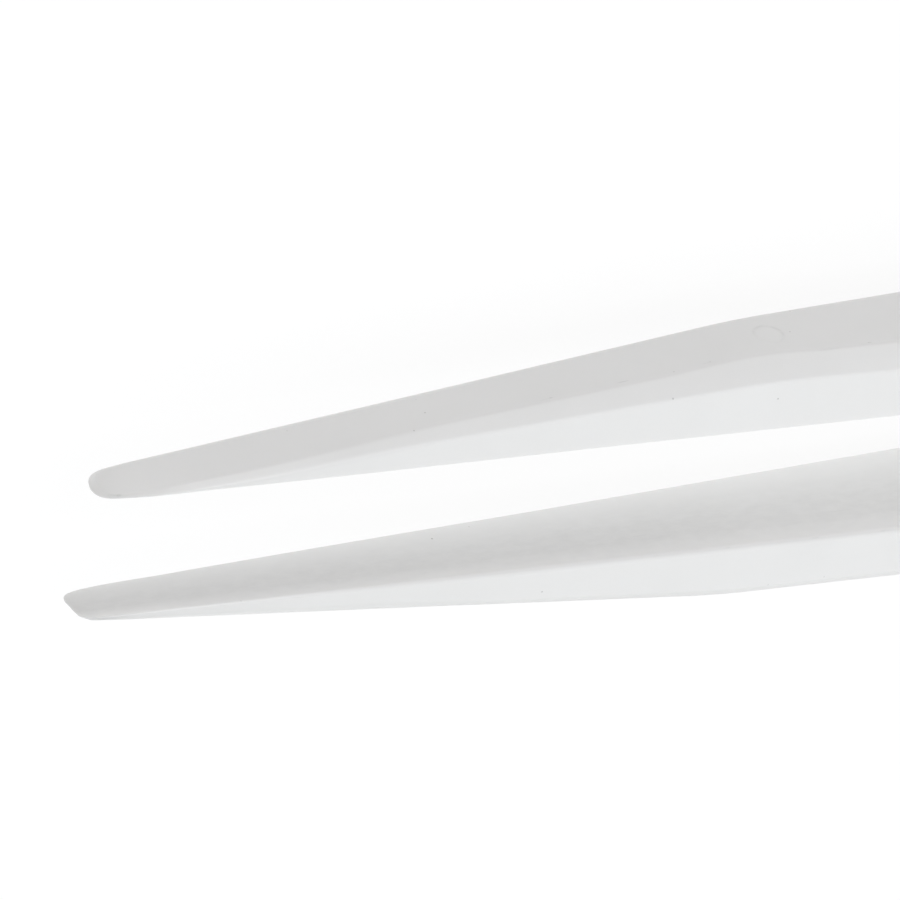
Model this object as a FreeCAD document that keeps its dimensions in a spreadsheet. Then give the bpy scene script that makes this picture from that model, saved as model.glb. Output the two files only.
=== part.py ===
import FreeCAD, Part
import math
import os
import Sketcher
from FreeCAD import Placement, Rotation, Vector

# Ceramic tip tweezers: two sprung steel arms welded together at the tail, and a
# white zirconia tip screwed to the front end of each arm. It lies on its side.
#
# Frame: X runs from the tips (-X) to the welded tail (+X), Y is the direction in
# which the arms open, Z is up and is the width of the arms. The origin is under
# the middle of the overall box, on the surface that the tweezers lie on.
#
# Each piece is drawn in its own frame first: x measured from the very end of the
# tips, y from the middle plane between the arms, z from the middle of the width.

doc = FreeCAD.newDocument("CeramicTipTweezers")

sheet = doc.addObject("Spreadsheet::Sheet", "Sizes")
sheet.Label = "Sizes"

SIZES = [
    # overall
    ("overall_length", 128.0),     # tip end to tail end
    ("gap_half", 2.703),           # middle plane to the inner face of a tip, at rest
    # ceramic tip: section sizes at the very end, and from the shoulder on
    ("tip_width", 2.0),            # width of the inner face at the very end
    ("width_slope", 0.092),        # how much wider the inner face gets per mm
    ("end_side", 0.085),           # height of the side faces at the end
    ("end_bevel_y", 0.115),        # height of the bevels at the end
    ("end_bevel_z", 0.20),         # breadth of the bevels at the end
    ("shoulder_x", 29.82),         # where the outer side bends parallel to the inner
    ("side_height", 2.165),        # height of the side faces from the shoulder on
    ("bevel_y", 0.749),
    ("bevel_z", 0.863),
    ("draft_z", 0.119),            # how far the side faces lean in over their height
    ("bend_reach", 1.4),           # half length of the rounded bend at the shoulder
    ("end_corner", 0.90),          # corner radius of the rounded end, seen flat on
    ("lap_x", 43.0),               # where the outer half is stepped away for the arm
    ("lap_end_x", 57.5),           # rear end of the ceramic
    ("lap_thick", 1.45),           # thickness of the ceramic under the steel
    ("root_fillet", 0.30),
    ("lap_corner", 0.80),          # rear corner radius of the lap
    # fastening, two screws for each tip
    ("screw_front_x", 47.6),
    ("screw_rear_x", 53.6),
    ("clear_radius", 0.90),        # clearance hole in the ceramic
    ("sink_radius", 1.66),         # mouth of the countersink
    ("tapped_radius", 0.80),       # tapped hole in the steel
    ("screw_radius", 0.79),
    ("head_radius", 1.50),
    ("head_edge", 0.10),           # straight edge of the screw head
    ("head_recess", 0.06),         # screw head below the inner face
    ("screw_length", 2.50),
    ("slot_width", 0.40),
    ("slot_depth", 0.36),
    ("screw_point", 0.15),
    # steel arm
    ("arm_start_x", 43.12),        # front end, just clear of the ceramic step
    ("front_relief", 0.42),        # chamfer that clears the fillet of the step
    ("front_thick", 1.45),
    ("tail_thick", 0.90),
    ("front_bend_x", 63.0),        # corner of the inner face ahead of the grip
    ("front_bend_out_x", 64.0),    # the same corner on the outer face
    ("tail_bend_x", 111.0),        # corner of the inner face ahead of the weld
    ("tail_bend_out_x", 110.6),
    ("bend_radius", 70.0),
    ("grip_half", 4.15),           # half width over the grip
    ("grip_start_x", 56.5),
    ("grip_end_x", 92.0),
    ("tail_half", 3.0),
    ("tail_corner", 2.4),
    ("plan_radius", 60.0),
    ("lean_at_lap", 0.08),         # side face of the ceramic at the height of the steel
    ("arm_bevel_y", 0.62),         # bevel along the outer edges of the steel
    ("arm_bevel_z", 0.72),
    ("blank_width", 14.0),
]
for row, (alias, number) in enumerate(SIZES, start=1):
    sheet.set("A%d" % row, alias.replace("_", " "))
    sheet.set("B%d" % row, "%.6g" % number)
    sheet.setAlias("B%d" % row, alias)
doc.recompute()
S = dict(SIZES)


probe = doc.addObject("App::FeaturePython", "Probe")
probe.addProperty("App::PropertyFloat", "number")


def value(expression):
    """The number that an expression over the sheet's cells has now."""
    probe.setExpression("number", expression)
    doc.recompute([probe])
    return float(probe.number)


def origin_plane(body, role):
    return [f for f in body.Origin.OriginFeatures if f.Role == role][0]


def new_sketch(body, name, role, offset=None):
    """A sketch on one of the body's own planes, moved along the plane's normal."""
    sketch = body.newObject("Sketcher::SketchObject", name)
    sketch.AttachmentSupport = [(origin_plane(body, role), "")]
    sketch.MapMode = "FlatFace"
    if offset is not None:
        sketch.AttachmentOffset = Placement(Vector(0, 0, value(offset)), Rotation())
        sketch.setExpression(".AttachmentOffset.Base.z", offset)
    return sketch


def closed_outline(sketch, points, rounded=None):
    """Closed outline of straight lines, every corner bound to the sheet. A corner
    listed in rounded, by its place in the list, gets a tangent arc of that radius."""
    spots = [Vector(value(a), value(b), 0) for a, b in points]
    first = sketch.GeometryCount
    count = len(points)
    for i in range(count):
        sketch.addGeometry(Part.LineSegment(spots[i], spots[(i + 1) % count]), False)
    for i in range(count):
        sketch.addConstraint(Sketcher.Constraint(
            "Coincident", first + i, 2, first + (i + 1) % count, 1))
    bound = []
    for i, (ex, ey) in enumerate(points):
        for kind, text, number in (("DistanceX", ex, spots[i].x), ("DistanceY", ey, spots[i].y)):
            index = sketch.addConstraint(Sketcher.Constraint(kind, -1, 1, first + i, 1, number))
            label = "c%d_%s" % (first + i, kind[-1].lower())
            sketch.renameConstraint(index, label)
            bound.append((label, text))
    for i, radius in sorted((rounded or {}).items()):
        before, after = first + (i - 1) % count, first + i
        back = (spots[(i - 1) % count] - spots[i]).normalize()
        ahead = (spots[(i + 1) % count] - spots[i]).normalize()
        sketch.fillet(before, after, spots[i] + back * 0.3, spots[i] + ahead * 0.3, value(radius), True, True)
        arcs = [k for k in range(sketch.GeometryCount)
                if sketch.Geometry[k].TypeId == "Part::GeomArcOfCircle"]
        label = "r%d" % (first + i)
        index = sketch.addConstraint(Sketcher.Constraint("Radius", arcs[-1], value(radius)))
        sketch.renameConstraint(index, label)
        bound.append((label, radius))
    for label, text in bound:
        sketch.setExpression("Constraints." + label, text)
    return first


def corner_cut(sketch, end_x, inward, half, up, radius):
    """The waste outside one rounded corner: an arc between the end and the side of a
    flat piece, closed by straight lines that stand clear of the piece."""
    r, h, x0 = value(radius), value(half), value(end_x)
    cx, cz = x0 + inward * r, up * (h - r)
    start, stop = Vector(x0, cz, 0), Vector(cx, up * h, 0)
    mid = Vector(cx - inward * r * 0.5 ** 0.5, cz + up * r * 0.5 ** 0.5, 0)
    out_x, out_z = x0 - inward * 1.5, up * (h + 1.5)
    corners = [stop, Vector(cx, out_z, 0), Vector(out_x, out_z, 0), Vector(out_x, cz, 0), start]
    arc = sketch.addGeometry(Part.Arc(start, mid, stop), False)
    lines = [sketch.addGeometry(Part.LineSegment(corners[i], corners[i + 1]), False) for i in range(4)]
    begin = 1 if sketch.getPoint(arc, 1).sub(start).Length < 1e-6 else 2
    sketch.addConstraint(Sketcher.Constraint("Coincident", arc, 3 - begin, lines[0], 1))
    for i in range(3):
        sketch.addConstraint(Sketcher.Constraint("Coincident", lines[i], 2, lines[i + 1], 1))
    sketch.addConstraint(Sketcher.Constraint("Coincident", lines[3], 2, arc, begin))
    for i, kind in enumerate(("Vertical", "Horizontal", "Vertical", "Horizontal")):
        sketch.addConstraint(Sketcher.Constraint(kind, lines[i]))
    for kind, a, text, number in (
            ("Radius", None, radius, r),
            ("DistanceX", 3, "%s %s %s" % (end_x, "+" if inward > 0 else "-", radius), cx),
            ("DistanceY", 3, "%s(%s - %s)" % ("" if up > 0 else "-", half, radius), cz)):
        if a is None:
            index = sketch.addConstraint(Sketcher.Constraint(kind, arc, number))
        else:
            index = sketch.addConstraint(Sketcher.Constraint(kind, -1, 1, arc, a, number))
        label = "k%d_%s" % (arc, kind[-1].lower())
        sketch.renameConstraint(index, label)
        sketch.setExpression("Constraints." + label, text)


def circle(sketch, ex, ey, er):
    geo = sketch.addGeometry(Part.Circle(Vector(value(ex), value(ey), 0), Vector(0, 0, 1), value(er)), False)
    for kind, text in (("DistanceX", ex), ("DistanceY", ey)):
        index = sketch.addConstraint(Sketcher.Constraint(kind, -1, 1, geo, 3, value(text)))
        sketch.setExpression("Constraints[%d]" % index, text)
    index = sketch.addConstraint(Sketcher.Constraint("Radius", geo, value(er)))
    sketch.setExpression("Constraints[%d]" % index, er)
    return geo


def edges_where(shape, test):
    found = []
    for i, edge in enumerate(shape.Edges, start=1):
        if test(edge):
            found.append("Edge%d" % i)
    return found


def middle(edge):
    return edge.valueAt((edge.FirstParameter + edge.LastParameter) / 2.0)


def runs_along(edge, axis, share=0.999):
    a, b = edge.valueAt(edge.FirstParameter), edge.valueAt(edge.LastParameter)
    d = b - a
    return d.Length > 1e-6 and abs(d.dot(axis)) / d.Length > share


def fillet(body, name, base, test, radius):
    doc.recompute()
    edges = edges_where(base.Shape, test)
    if not edges:
        raise RuntimeError("%s finds no edge" % name)
    feature = body.newObject("PartDesign::Fillet", name)
    feature.Base = (base, edges)
    feature.Radius = value(radius)
    feature.setExpression("Radius", radius)
    doc.recompute()
    return feature


def pocket_both_ways(body, name, sketch, length="Sizes.blank_width * 4"):
    before = body.Tip.Shape.Volume
    feature = body.newObject("PartDesign::Pocket", name)
    feature.Profile = sketch
    feature.Type = "Length"
    feature.SideType = "Symmetric"
    feature.Length = value(length)
    feature.setExpression("Length", length)
    doc.recompute()
    if not feature.Shape.Volume < before - 1e-4:
        raise RuntimeError("%s removes nothing" % name)
    return feature


# ---------------------------------------------------------------- ceramic tip
# Sections across the tip at these stations. Ahead of the shoulder the side faces
# and the bevels grow in a straight line; at the shoulder they round over, on a
# parabola, into a constant section. The width keeps growing in a straight line.
STATIONS = ["0",
            "(Sizes.shoulder_x - Sizes.bend_reach)",
            "(Sizes.shoulder_x - Sizes.bend_reach * 0.5)",
            "Sizes.shoulder_x",
            "(Sizes.shoulder_x + Sizes.bend_reach * 0.5)",
            "(Sizes.shoulder_x + Sizes.bend_reach)",
            "Sizes.lap_end_x"]
SHARES = ["0",
          "(1 - Sizes.bend_reach / Sizes.shoulder_x)",
          "(1 - Sizes.bend_reach / Sizes.shoulder_x * 0.5625)",
          "(1 - Sizes.bend_reach / Sizes.shoulder_x * 0.25)",
          "(1 - Sizes.bend_reach / Sizes.shoulder_x * 0.0625)",
          "1", "1"]
# which sections each stretch of the blank runs through, and whether it is straight
STRETCHES = [("nose", 0, 1, True), ("bend", 1, 5, False), ("heel", 5, 6, True)]


def make_tip(name, placement):
    body = doc.addObject("PartDesign::Body", name)
    body.Label = name
    sketches = []
    for i, (x, share) in enumerate(zip(STATIONS, SHARES)):
        sketch = new_sketch(body, "%s_section_%d" % (name, i), "YZ_Plane", x)
        half = "(Sizes.tip_width + Sizes.width_slope * (%s)) / 2" % x
        side = "(Sizes.end_side + (Sizes.side_height - Sizes.end_side) * %s)" % share
        rise = "(Sizes.end_bevel_y + (Sizes.bevel_y - Sizes.end_bevel_y) * %s)" % share
        reach = "(Sizes.end_bevel_z + (Sizes.bevel_z - Sizes.end_bevel_z) * %s)" % share
        lean = "(Sizes.draft_z * %s)" % share
        inner = "Sizes.gap_half"
        closed_outline(sketch, [
            (inner, "-(%s)" % half),
            ("%s + %s" % (inner, side), "-(%s - %s)" % (half, lean)),
            ("%s + %s + %s" % (inner, side, rise), "-(%s - %s - %s)" % (half, lean, reach)),
            ("%s + %s + %s" % (inner, side, rise), "%s - %s - %s" % (half, lean, reach)),
            ("%s + %s" % (inner, side), "%s - %s" % (half, lean)),
            (inner, half),
        ])
        sketches.append(sketch)
    doc.recompute()
    for word, low, high, straight in STRETCHES:
        loft = body.newObject("PartDesign::AdditiveLoft", "%s_%s" % (name, word))
        loft.Profile = sketches[low]
        loft.Sections = sketches[low + 1:high + 1]
        loft.Ruled = straight
        doc.recompute()

    # all four corners rounded off, seen from the flat side
    end = new_sketch(body, name + "_end_outline", "XZ_Plane")
    front = "(Sizes.tip_width / 2 + Sizes.width_slope / 2 * Sizes.end_corner)"
    rear = "(Sizes.tip_width / 2 + Sizes.width_slope / 2 * Sizes.lap_end_x)"
    for up in (1, -1):
        corner_cut(end, "0", 1, front, up, "Sizes.end_corner")
        corner_cut(end, "Sizes.lap_end_x", -1, rear, up, "Sizes.lap_corner")
    doc.recompute()
    pocket_both_ways(body, name + "_end", end)

    # outer half stepped away, where the steel arm laps over it
    step = new_sketch(body, name + "_step_outline", "XY_Plane")
    closed_outline(step, [
        ("Sizes.lap_x", "Sizes.gap_half + Sizes.lap_thick"),
        ("Sizes.lap_end_x + 2", "Sizes.gap_half + Sizes.lap_thick"),
        ("Sizes.lap_end_x + 2", "Sizes.gap_half + 5"),
        ("Sizes.lap_x", "Sizes.gap_half + 5"),
    ])
    lap = pocket_both_ways(body, name + "_step", step)
    at_x, at_y = S["lap_x"], S["gap_half"] + S["lap_thick"]
    fillet(body, name + "_step_root", lap, lambda e: runs_along(e, Vector(0, 0, 1))
                  and abs(middle(e).x - at_x) < 1e-3 and abs(middle(e).y - at_y) < 1e-3,
                  "Sizes.root_fillet")

    # two countersunk clearance holes through the lap
    holes = new_sketch(body, name + "_hole_centres", "XZ_Plane")
    circle(holes, "Sizes.screw_front_x", "0", "Sizes.clear_radius")
    circle(holes, "Sizes.screw_rear_x", "0", "Sizes.clear_radius")
    bored = pocket_both_ways(body, name + "_holes", holes)
    doc.recompute()

    def mouth(edge):
        p = middle(edge)
        return abs(p.y - S["gap_half"]) < 1e-4 and any(
            abs(math.hypot(p.x - x, p.z) - S["clear_radius"]) < 1e-3
            for x in (S["screw_front_x"], S["screw_rear_x"]))

    mouths = edges_where(bored.Shape, mouth)
    if len(mouths) < 2:
        raise RuntimeError("%s finds %d mouths" % (name, len(mouths)))
    sink = body.newObject("PartDesign::Chamfer", name + "_countersinks")
    sink.Base = (bored, mouths)
    sink.Size = value("Sizes.sink_radius - Sizes.clear_radius")
    sink.setExpression("Size", "Sizes.sink_radius - Sizes.clear_radius")
    doc.recompute()
    place(body, placement)
    return body


# ------------------------------------------------------------------ steel arm
def make_arm(name, placement):
    body = doc.addObject("PartDesign::Body", name)
    body.Label = name
    side = new_sketch(body, name + "_side", "XY_Plane")
    lap = "Sizes.gap_half + Sizes.lap_thick"
    closed_outline(side, [
        ("Sizes.overall_length", "0"),
        ("Sizes.tail_bend_x", "0"),
        ("Sizes.front_bend_x", lap),
        ("Sizes.arm_start_x + Sizes.front_relief", lap),
        ("Sizes.arm_start_x", lap + " + Sizes.front_relief"),
        ("Sizes.arm_start_x", lap + " + Sizes.front_thick"),
        ("Sizes.front_bend_out_x", lap + " + Sizes.front_thick"),
        ("Sizes.tail_bend_out_x", "Sizes.tail_thick"),
        ("Sizes.overall_length", "Sizes.tail_thick"),
    ], {1: "Sizes.bend_radius", 2: "Sizes.bend_radius",
        6: "Sizes.bend_radius", 7: "Sizes.bend_radius"})
    doc.recompute()
    blank = body.newObject("PartDesign::Pad", name + "_blank")
    blank.Profile = side
    blank.Type = "Length"
    blank.SideType = "Symmetric"
    blank.Length = S["blank_width"]
    blank.setExpression("Length", "Sizes.blank_width")
    doc.recompute()

    # planform: flush with the ceramic in front, wider up to the grip, then down to the tail
    plan = new_sketch(body, name + "_planform", "XZ_Plane")
    start_half = "(Sizes.tip_width + Sizes.width_slope * Sizes.arm_start_x) / 2 - Sizes.lean_at_lap"
    grip_x = "Sizes.grip_start_x"
    closed_outline(plan, [
        ("Sizes.arm_start_x - 1", start_half + " - Sizes.width_slope / 2"),
        (grip_x, "Sizes.grip_half"),
        ("Sizes.grip_end_x", "Sizes.grip_half"),
        ("Sizes.overall_length", "Sizes.tail_half"),
        ("Sizes.overall_length", "-Sizes.tail_half"),
        ("Sizes.grip_end_x", "-Sizes.grip_half"),
        (grip_x, "-Sizes.grip_half"),
        ("Sizes.arm_start_x - 1", "-(%s - Sizes.width_slope / 2)" % start_half),
    ], {1: "Sizes.plan_radius", 2: "Sizes.plan_radius", 3: "Sizes.tail_corner",
        4: "Sizes.tail_corner", 5: "Sizes.plan_radius", 6: "Sizes.plan_radius"})
    closed_outline(plan, [
        ("Sizes.arm_start_x - 2", "-Sizes.blank_width"),
        ("Sizes.overall_length + 2", "-Sizes.blank_width"),
        ("Sizes.overall_length + 2", "Sizes.blank_width"),
        ("Sizes.arm_start_x - 2", "Sizes.blank_width"),
    ])
    doc.recompute()
    cut = pocket_both_ways(body, name + "_outline", plan)

    # bevels along the outer edges, carried on from those of the ceramic
    doc.recompute()
    outer = cut.Shape

    def outer_edge(e):
        """Edges shared by an outer face and a side face, the tail end's left plain."""
        p = middle(e)
        if abs(p.x - S["arm_start_x"]) < 1e-3:
            return False
        faces = outer.ancestorsOfType(e, Part.Face)
        if len(faces) != 2:
            return False
        up = 0
        across = 0
        for f in faces:
            u, v = f.Surface.parameter(p)
            n = f.normalAt(u, v)
            if n.y > 0.9:
                up += 1
            elif abs(n.y) < 0.05:
                across += 1
        return up == 1 and across == 1

    bevel = body.newObject("PartDesign::Chamfer", name + "_bevels")
    bevel.Base = (cut, edges_where(outer, outer_edge))
    bevel.ChamferType = "Two distances"
    bevel.Size = S["arm_bevel_z"]
    bevel.Size2 = S["arm_bevel_y"]
    bevel.setExpression("Size", "Sizes.arm_bevel_z")
    bevel.setExpression("Size2", "Sizes.arm_bevel_y")
    doc.recompute()
    if not 0 < cut.Shape.Volume - bevel.Shape.Volume < 80:
        raise RuntimeError("%s_bevels went wrong" % name)

    holes = new_sketch(body, name + "_tapped_centres", "XZ_Plane")
    circle(holes, "Sizes.screw_front_x", "0", "Sizes.tapped_radius")
    circle(holes, "Sizes.screw_rear_x", "0", "Sizes.tapped_radius")
    pocket_both_ways(body, name + "_tapped_holes", holes)
    place(body, placement)
    return body


# ---------------------------------------------------------------------- screw
def make_screw(name, station, placement):
    """Slotted countersunk screw. Drawn with its axis along y, head at the low end."""
    body = doc.addObject("PartDesign::Body", name)
    body.Label = name
    half = new_sketch(body, name + "_profile", "XY_Plane")
    top = "Sizes.gap_half + Sizes.head_recess"
    cone = "%s + Sizes.head_edge + Sizes.head_radius - Sizes.screw_radius" % top
    closed_outline(half, [
        ("0", top),
        ("Sizes.head_radius", top),
        ("Sizes.head_radius", top + " + Sizes.head_edge"),
        ("Sizes.screw_radius", cone),
        ("Sizes.screw_radius", top + " + Sizes.screw_length - Sizes.screw_point"),
        ("Sizes.screw_radius - Sizes.screw_point", top + " + Sizes.screw_length"),
        ("0", top + " + Sizes.screw_length"),
    ])
    doc.recompute()
    turned = body.newObject("PartDesign::Revolution", name + "_turned")
    turned.Profile = half
    turned.ReferenceAxis = (half, ["V_Axis"])
    turned.Angle = 360.0
    doc.recompute()
    slot = new_sketch(body, name + "_slot_outline", "XY_Plane")
    closed_outline(slot, [
        ("-Sizes.slot_width / 2", top + " - 0.5"),
        ("Sizes.slot_width / 2", top + " - 0.5"),
        ("Sizes.slot_width / 2", top + " + Sizes.slot_depth"),
        ("-Sizes.slot_width / 2", top + " + Sizes.slot_depth"),
    ])
    pocket_both_ways(body, name + "_slot", slot, "Sizes.head_radius * 4")
    place(body, placement, station)
    return body


def place(body, turned_over, station=None):
    """Put a piece into the row frame. The lower pieces are turned half a turn about x."""
    rotation = Rotation(Vector(1, 0, 0), 180.0 if turned_over else 0.0)
    body.Placement = Placement(Vector(0, 0, 0), rotation)
    along = "-Sizes.overall_length / 2"
    if station:
        along += " + Sizes." + station
    body.setExpression(".Placement.Base.x", along)
    body.setExpression(".Placement.Base.z", "Sizes.grip_half")
    doc.recompute()


bodies = []
for word, over in (("upper", False), ("lower", True)):
    bodies.append(make_arm(word + "_arm", over))
    bodies.append(make_tip(word + "_ceramic_tip", over))
    bodies.append(make_screw(word + "_front_screw", "screw_front_x", over))
    bodies.append(make_screw(word + "_rear_screw", "screw_rear_x", over))

doc.removeObject(probe.Name)
doc.recompute()

for obj in doc.Objects:
    if any(word in ("Invalid", "Error") for word in obj.State):
        raise RuntimeError("%s is %s" % (obj.Label, obj.State))
for body in bodies:
    shape = body.Shape
    if shape.isNull() or not shape.isValid() or len(shape.Solids) != 1:
        raise RuntimeError("%s has no sound solid" % body.Label)

os.makedirs("parts", exist_ok=True)
for body in bodies:
    body.Shape.exportStep(os.path.join("parts", body.Label + ".step"))
    box = body.Shape.BoundBox
    print("%-20s %8.2f mm3  x %.2f..%.2f  y %.3f..%.3f  z %.3f..%.3f" % (
        body.Label, body.Shape.Volume, box.XMin, box.XMax, box.YMin, box.YMax, box.ZMin, box.ZMax))
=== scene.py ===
import math

import bmesh
import bpy
import numpy as np
from mathutils import Matrix, Vector


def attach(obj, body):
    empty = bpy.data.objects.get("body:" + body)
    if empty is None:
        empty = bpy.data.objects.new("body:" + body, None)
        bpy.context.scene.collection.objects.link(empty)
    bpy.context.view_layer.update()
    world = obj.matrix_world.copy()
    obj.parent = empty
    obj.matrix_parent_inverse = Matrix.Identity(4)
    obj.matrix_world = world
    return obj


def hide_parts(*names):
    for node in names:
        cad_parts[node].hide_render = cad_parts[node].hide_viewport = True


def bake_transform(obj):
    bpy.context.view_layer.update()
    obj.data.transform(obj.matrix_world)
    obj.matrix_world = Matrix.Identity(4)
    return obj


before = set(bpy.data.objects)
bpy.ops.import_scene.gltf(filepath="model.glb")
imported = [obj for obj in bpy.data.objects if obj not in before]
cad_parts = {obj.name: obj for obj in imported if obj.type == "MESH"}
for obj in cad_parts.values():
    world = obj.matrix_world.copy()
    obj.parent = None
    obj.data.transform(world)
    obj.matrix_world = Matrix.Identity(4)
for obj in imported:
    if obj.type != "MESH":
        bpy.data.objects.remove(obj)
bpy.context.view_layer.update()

# ------------------------------------------------------------------ sizes, mm
# x from the tip ends, y from the middle plane between the arms, z from the
# middle of the width: the frame that the pieces are drawn in.
LENGTH, GRIP_HALF, GAP = 128.0, 4.15, 2.703
SHOULDER, REACH = 29.82, 1.4
LAP_X, LAP_END, LAP_T = 43.0, 57.5, 1.45
SCREWS = (47.6, 53.6)
# the ejector pin's round witness on the upper tip's outer face: x, z, radius
WITNESS = (30.68, -0.06, 0.60)
MM = 0.001
# how far back each tip's end is ground, over the rounded corners: z in the row frame, x
UPPER_END = ((-1.00, 0.203), (-0.95, 0.136), (-0.90, 0.086), (-0.85, 0.057), (-0.80, 0.048), (-0.70, 0.039),
             (-0.60, 0.024), (-0.50, 0.002), (-0.40, -0.017), (-0.30, -0.034), (-0.20, -0.063), (-0.10, -0.094),
             (0.00, -0.113), (0.10, -0.123), (0.20, -0.120), (0.30, -0.108), (0.40, -0.094), (0.50, -0.079),
             (0.60, -0.066), (0.70, -0.038), (0.80, 0.028), (0.85, 0.118), (0.90, 0.279), (0.95, 0.502), (1.00, 0.755))
LOWER_END = ((-1.00, 0.365), (-0.95, 0.240), (-0.90, 0.135), (-0.85, 0.057), (-0.80, 0.008), (-0.70, -0.026),
             (-0.60, -0.026), (-0.50, -0.018), (-0.40, -0.010), (-0.30, -0.004), (-0.20, 0.014), (-0.10, 0.028),
             (0.00, 0.043), (0.10, 0.051), (0.20, 0.049), (0.30, 0.057), (0.40, 0.069), (0.50, 0.072), (0.60, 0.047),
             (0.70, 0.008), (0.80, 0.028), (0.85, 0.071), (0.90, 0.123), (0.95, 0.174), (1.00, 0.225))


def to_frame(points, over):
    """Drawn millimetres to the row frame's metres; the lower pieces are turned over about x."""
    p = np.asarray(points, float).copy()
    if over:
        p[:, 1] *= -1
        p[:, 2] *= -1
    p[:, 0] -= LENGTH / 2
    p[:, 2] += GRIP_HALF
    return p * MM


# -------------------------------------------------------------- mesh helpers
def rounded(points, tangents, steps):
    """Open polyline with a circular arc at each inner corner, given by tangent
    length. The number of points depends only on steps, so that rings match."""
    pts = [np.array(p, float) for p in points]
    out = [pts[0]]
    for i in range(1, len(pts) - 1):
        a, b, c = pts[i - 1], pts[i], pts[i + 1]
        la, lc = np.linalg.norm(a - b), np.linalg.norm(c - b)
        ua, uc = (a - b) / la, (c - b) / lc
        t = min(tangents[i - 1], 0.48 * la if i > 1 else 0.98 * la, 0.48 * lc if i < len(pts) - 2 else 0.98 * lc)
        cos_in = float(np.clip(ua @ uc, -1, 1))
        half = math.acos(cos_in) / 2
        if half > math.radians(89.7):
            for k in range(steps + 1):
                out.append(b + (ua * (1 - k / steps) + uc * (k / steps)) * t)
            continue
        r = t * math.tan(half)
        mid = (ua + uc) / np.linalg.norm(ua + uc)
        centre = b + mid * (r / math.sin(half))
        p0, p1 = b + ua * t, b + uc * t
        v0, v1 = p0 - centre, p1 - centre
        span = math.acos(float(np.clip(v0 @ v1 / (r * r), -1, 1)))
        for k in range(steps + 1):
            s = k / steps
            if span < 1e-6:
                out.append(p0 + (p1 - p0) * s)
            else:
                out.append(centre + (v0 * math.sin((1 - s) * span) + v1 * math.sin(s * span)) / math.sin(span))
    out.append(pts[-1])
    return np.array(out)


def new_object(name, vertices, faces, material):
    mesh = bpy.data.meshes.new(name)
    mesh.from_pydata([tuple(v) for v in vertices], [], faces)
    bm = bmesh.new()
    bm.from_mesh(mesh)
    bmesh.ops.remove_doubles(bm, verts=bm.verts, dist=2e-8)
    bmesh.ops.recalc_face_normals(bm, faces=bm.faces)
    bm.to_mesh(mesh)
    bm.free()
    mesh.materials.append(material)
    obj = bpy.data.objects.new(name, mesh)
    bpy.context.scene.collection.objects.link(obj)
    return obj


def table(profile, xs, other=None):
    """A rim section at many places along the piece, to be looked up between them: one
    for the +z side and one for the -z side."""
    near = np.array([profile(x) for x in xs])
    return np.asarray(xs, float), near, near if other is None else np.array([other(x) for x in xs])


def slab(name, side, sections, across, lift, over, material, spread=None):
    """A long flat piece with a shaped rim, closed by a flat cap at its rear.

    side: (x, z, inward x, inward z) from the middle of the end wall outwards and down
    one long side; the other side mirrors it. sections: the rim's section as (inward
    distance, height) from the bottom face to the top one, for each x. lift(x) is the
    height of the bottom face. spread(x, z), where given, is added to the top face."""
    xs, near, far = sections
    side = np.asarray(side, float)
    n, k, m = len(side), across, near.shape[1]
    wall = np.arange(1, k + 1) / (k + 1)
    x0, z0 = side[0, 0], side[0, 1]
    end = np.column_stack([np.full(k, x0), z0 - 2 * z0 * wall, np.ones(k), np.zeros(k)])
    base = np.vstack([side[::-1], end, side * (1, -1, 1, -1)])  # all round, rear to rear
    bx, bz, ix, iz = base.T
    lead = np.concatenate([np.ones(n), 1 - wall, np.zeros(n)])
    verts = np.zeros((len(base), m, 3))
    for j in range(m):
        px = bx.copy()
        for _ in range(3):
            o = lead * np.interp(px, xs, near[:, j, 0]) + (1 - lead) * np.interp(px, xs, far[:, j, 0])
            px = bx + o * ix
        verts[:, j, 0] = px
        high = lead * np.interp(px, xs, near[:, j, 1]) + (1 - lead) * np.interp(px, xs, far[:, j, 1])
        verts[:, j, 1] = lift(px) + high
        verts[:, j, 2] = bz + o * iz
    points = [verts.reshape(-1, 3)]
    ring = np.arange(len(base) * m).reshape(len(base), m)
    faces = np.stack([ring[:-1, :-1], ring[1:, :-1], ring[1:, 1:], ring[:-1, 1:]], -1).reshape(-1, 4).tolist()
    count = len(base) * m
    grids = []
    for j in (0, m - 1):
        rows = np.zeros((n, k + 2), int)
        rows[:, 0] = ring[n - 1::-1, j][:n]
        rows[:, -1] = ring[n + k:, j]
        rows[0, 1:-1] = ring[n:n + k, j]
        pa, pb = verts[n - 1::-1, j][:n], verts[n + k:, j]
        mid = pa[1:, None, :] * (1 - wall[None, :, None]) + pb[1:, None, :] * wall[None, :, None]
        if spread is not None and j:
            mid[:, :, 1] += spread(mid[:, :, 0], mid[:, :, 2])
        points.append(mid.reshape(-1, 3))
        rows[1:, 1:-1] = count + np.arange((n - 1) * k).reshape(n - 1, k)
        count += (n - 1) * k
        quads = np.stack([rows[:-1, :-1], rows[:-1, 1:], rows[1:, 1:], rows[1:, :-1]], -1).reshape(-1, 4)
        faces += (quads if j else quads[:, ::-1]).tolist()
        grids.append(rows)
    faces.append(list(ring[0]) + list(grids[1][n - 1][1:-1]) + list(ring[-1][::-1]) + list(grids[0][n - 1][1:-1][::-1]))
    faces[-1] = [int(v) for v in faces[-1]]
    return new_object(name, to_frame(np.vstack(points), over), faces, material)


def cutter(name, vertices, faces, over):
    obj = new_object(name, to_frame(vertices, over), faces, STEEL)
    return obj


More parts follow.
